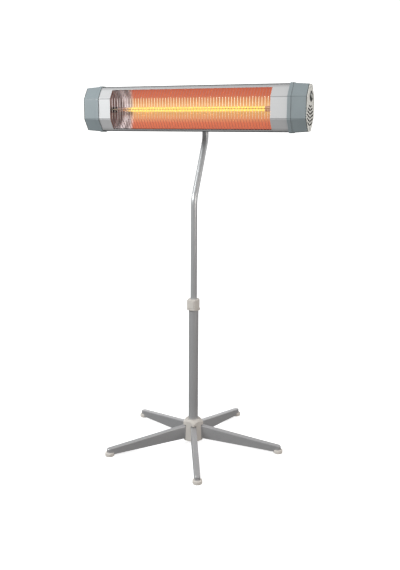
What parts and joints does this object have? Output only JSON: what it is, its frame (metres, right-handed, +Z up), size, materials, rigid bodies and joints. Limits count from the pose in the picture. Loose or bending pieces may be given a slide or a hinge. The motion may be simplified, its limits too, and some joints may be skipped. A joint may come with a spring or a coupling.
{
  "type": "infrared patio heater",
  "caption": "Free-standing infrared quartz heater: a long tilting head with a wire guard on a bent, height-adjustable, swivelling mast over a star base with splayed legs.",
  "frame": {"origin": "the point of the floor under the mast's axis, midway between the feet", "axes": "+Z up, -Y towards the lit front of the head, +X towards the head's control end"},
  "size_m": [0.89, 0.687, 1.405],
  "materials": {
    "ivory_plastic": "satin moulded",
    "grey_paint": "grey metallic paint",
    "mast_paint": "smooth grey metallic paint",
    "zinc_steel": "zinc plated",
    "nylon": "natural nylon",
    "black_plastic": "fine moulded grain",
    "rubber_washer": "matte",
    "body_aluminium": "satin",
    "housing_paint": "satin dark grey paint",
    "reflector_metal": "polished",
    "quartz": "clear",
    "filament_glow": "incandescent",
    "ceramic": "matte",
    "chrome_wire": "polished",
    "blue_grey_plastic": "satin moulded",
    "pale_plastic": "satin moulded",
    "wire_insulation": "silicone"
  },
  "bodies": {
    "base": {"hub": "ivory_plastic", "hub_base_cover": "ivory_plastic", "leg_1": "grey_paint", "leg_2": "grey_paint", "leg_3": "grey_paint", "leg_4": "grey_paint", "leg_5": "grey_paint", "foot_cap_1": "ivory_plastic", "foot_cap_2": "ivory_plastic", "foot_cap_3": "ivory_plastic", "foot_cap_4": "ivory_plastic", "foot_cap_5": "ivory_plastic", "leg_bolts": "zinc_steel", "centre_bolt": "zinc_steel", "tube_foot_plug": "nylon", "lower_tube": "grey_paint", "height_collar": "ivory_plastic", "collar_screw": "zinc_steel", "button_spring": "zinc_steel"},
    "release_button": {"collar_button": "ivory_plastic"},
    "bush": {"mast_bush": "nylon"},
    "mast": {"mast_tube": "mast_paint", "mast_guide": "nylon", "mast_head": "mast_paint"},
    "head": {"head_bracket": "mast_paint", "bracket_screws": "zinc_steel", "bracket_nuts": "zinc_steel", "pivot_bolt": "zinc_steel", "friction_washers": "rubber_washer", "front_bezel": "body_aluminium", "rear_housing": "housing_paint", "reflector": "reflector_metal", "reflector_end_left": "reflector_metal", "reflector_end_right": "reflector_metal", "quartz_tube": "quartz", "filament": "filament_glow", "lamp_cap_left": "ceramic", "lamp_cap_right": "ceramic", "lamp_clip_left": "zinc_steel", "lamp_clip_right": "zinc_steel", "guard_grille": "chrome_wire", "end_cap_left": "blue_grey_plastic", "end_cap_right": "blue_grey_plastic", "end_plate_left": "pale_plastic", "end_plate_right": "pale_plastic", "end_plate_screws": "zinc_steel", "rotary_switch": "black_plastic", "terminal_block": "nylon", "tip_over_switch": "black_plastic", "internal_wires": "wire_insulation", "cable_gland": "black_plastic", "gland_locknut": "black_plastic"},
    "tilt_knob": {"tilt_knob": "black_plastic"},
    "selector": {"selector_knob": "black_plastic", "switch_shaft": "zinc_steel"}
  },
  "joints": [
    {"name": "button_press", "type": "slide", "parent": "base", "child": "release_button", "axis": [0, 1, 0], "range_m": [0, 0.0025], "stiffness_N_per_m": 900, "springref_m": -0.001, "deforming": ["button_spring"]},
    {"name": "mast_swivel", "type": "hinge", "parent": "base", "child": "bush", "pos_m": [0, 0, 0.58], "axis": [0, 0, 1], "range_deg": [-180, 180]},
    {"name": "mast_slide", "type": "slide", "parent": "bush", "child": "mast", "axis": [0, 0, 1], "range_m": [-0.28, 0.1]},
    {"name": "head_tilt", "type": "hinge", "parent": "mast", "child": "head", "pos_m": [0, 0.1, 1.32], "axis": [1, 0, 0], "range_deg": [-20, 35]},
    {"name": "tilt_knob_turn", "type": "hinge", "parent": "head", "child": "tilt_knob", "pos_m": [0.03, 0.1, 1.32], "axis": [1, 0, 0], "range_deg": [-180, 180]},
    {"name": "selector_turn", "type": "hinge", "parent": "head", "child": "selector", "pos_m": [0.435, -0.009, 1.358], "axis": [1, 0, 0], "range_deg": [-90, 45]}
  ]
}
